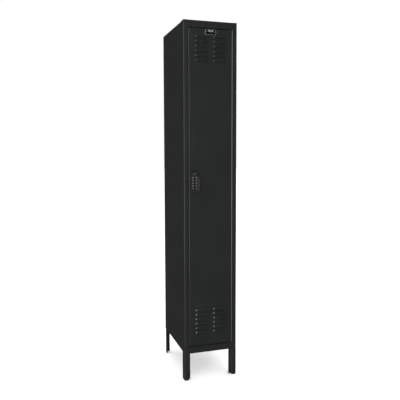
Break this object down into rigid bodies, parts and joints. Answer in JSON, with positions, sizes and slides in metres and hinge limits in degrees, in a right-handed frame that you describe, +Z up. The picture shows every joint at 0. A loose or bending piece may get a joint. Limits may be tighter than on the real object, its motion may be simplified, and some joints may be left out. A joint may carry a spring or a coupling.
{
  "type": "locker cabinet",
  "caption": "Tall narrow steel locker on legs, with an inset louvred door, keypad lock with finger pull, number plate, hat shelf and coat hooks.",
  "frame": {"origin": "on the floor, under the middle of the whole object's box", "axes": "+Z up, +X to the right seen from the front, the door faces -Y"},
  "size_m": [0.3048, 0.4792, 1.9812],
  "materials": {
    "black_powder_coat": "satin powder coat with a faint orange peel",
    "zinc_plate": "bright zinc plate",
    "lock_plastic": "fine-grained moulded",
    "key_metal": "satin",
    "plate_aluminium": "brushed rim, black enamelled field",
    "rubber": "matte",
    "circuit_board": "solder mask",
    "ribbon": "matte",
    "battery_sleeve": "gloss sleeve",
    "status_lens": "clear grey"
  },
  "bodies": {
    "cabinet": {"left_frame_stile": "black_powder_coat", "right_frame_stile": "black_powder_coat", "top_frame_rail": "black_powder_coat", "bottom_frame_rail": "black_powder_coat", "left_side_panel": "black_powder_coat", "right_side_panel": "black_powder_coat", "back_panel": "black_powder_coat", "top_panel": "black_powder_coat", "bottom_panel": "black_powder_coat", "hat_shelf": "black_powder_coat", "rear_left_leg": "black_powder_coat", "rear_right_leg": "black_powder_coat", "left_wall_hook": "zinc_plate", "right_wall_hook": "zinc_plate", "back_wall_hook": "zinc_plate", "ceiling_hook": "zinc_plate", "panel_bolts": "black_powder_coat", "panel_nuts": "zinc_plate", "leg_bolts": "black_powder_coat", "leg_nuts": "zinc_plate", "hook_bolts": "black_powder_coat", "hook_nuts": "zinc_plate", "back_rivets": "black_powder_coat", "latch_strike": "black_powder_coat", "rubber_bumpers": "rubber", "frame_hinge_leaf": "black_powder_coat", "hinge_pin": "zinc_plate"},
    "door": {"door_panel": "black_powder_coat", "door_stiffener": "black_powder_coat", "door_hinge_leaf": "black_powder_coat", "number_plate": "plate_aluminium", "plate_rivets": "zinc_plate", "lock_housing": "lock_plastic", "status_light": "status_lens", "keypad_membrane": "rubber", "keypad_board": "circuit_board", "ribbon_cable": "ribbon", "lock_back_case": "lock_plastic", "battery_cover": "lock_plastic", "batteries": "battery_sleeve", "bolt_solenoid": "zinc_plate", "lock_screws": "zinc_plate"},
    "lock_bolt": {"latch_bolt": "zinc_plate", "solenoid_plunger": "zinc_plate"},
    "button_1": {"key_1": "key_metal"},
    "button_2": {"key_2": "key_metal"},
    "button_3": {"key_3": "key_metal"},
    "button_4": {"key_4": "key_metal"},
    "button_5": {"key_5": "key_metal"},
    "button_6": {"key_6": "key_metal"},
    "button_7": {"key_7": "key_metal"},
    "button_8": {"key_8": "key_metal"},
    "button_9": {"key_9": "key_metal"},
    "button_0": {"key_0": "key_metal"}
  },
  "joints": [
    {"name": "door_hinge", "type": "hinge", "parent": "cabinet", "child": "door", "pos_m": [0.125, -0.2188, 1.0668], "axis": [0, 0, 1], "range_deg": [0, 170]},
    {"name": "bolt_slide", "type": "slide", "parent": "door", "child": "lock_bolt", "axis": [-1, 0, 0], "range_m": [0, 0.01]},
    {"name": "press_1", "type": "slide", "parent": "door", "child": "button_1", "axis": [0, 1, 0], "range_m": [0, 0.001], "stiffness_N_per_m": 300, "springref_m": -0.001},
    {"name": "press_2", "type": "slide", "parent": "door", "child": "button_2", "axis": [0, 1, 0], "range_m": [0, 0.001], "stiffness_N_per_m": 300, "springref_m": -0.001},
    {"name": "press_3", "type": "slide", "parent": "door", "child": "button_3", "axis": [0, 1, 0], "range_m": [0, 0.001], "stiffness_N_per_m": 300, "springref_m": -0.001},
    {"name": "press_4", "type": "slide", "parent": "door", "child": "button_4", "axis": [0, 1, 0], "range_m": [0, 0.001], "stiffness_N_per_m": 300, "springref_m": -0.001},
    {"name": "press_5", "type": "slide", "parent": "door", "child": "button_5", "axis": [0, 1, 0], "range_m": [0, 0.001], "stiffness_N_per_m": 300, "springref_m": -0.001},
    {"name": "press_6", "type": "slide", "parent": "door", "child": "button_6", "axis": [0, 1, 0], "range_m": [0, 0.001], "stiffness_N_per_m": 300, "springref_m": -0.001},
    {"name": "press_7", "type": "slide", "parent": "door", "child": "button_7", "axis": [0, 1, 0], "range_m": [0, 0.001], "stiffness_N_per_m": 300, "springref_m": -0.001},
    {"name": "press_8", "type": "slide", "parent": "door", "child": "button_8", "axis": [0, 1, 0], "range_m": [0, 0.001], "stiffness_N_per_m": 300, "springref_m": -0.001},
    {"name": "press_9", "type": "slide", "parent": "door", "child": "button_9", "axis": [0, 1, 0], "range_m": [0, 0.001], "stiffness_N_per_m": 300, "springref_m": -0.001},
    {"name": "press_0", "type": "slide", "parent": "door", "child": "button_0", "axis": [0, 1, 0], "range_m": [0, 0.001], "stiffness_N_per_m": 300, "springref_m": -0.001}
  ]
}
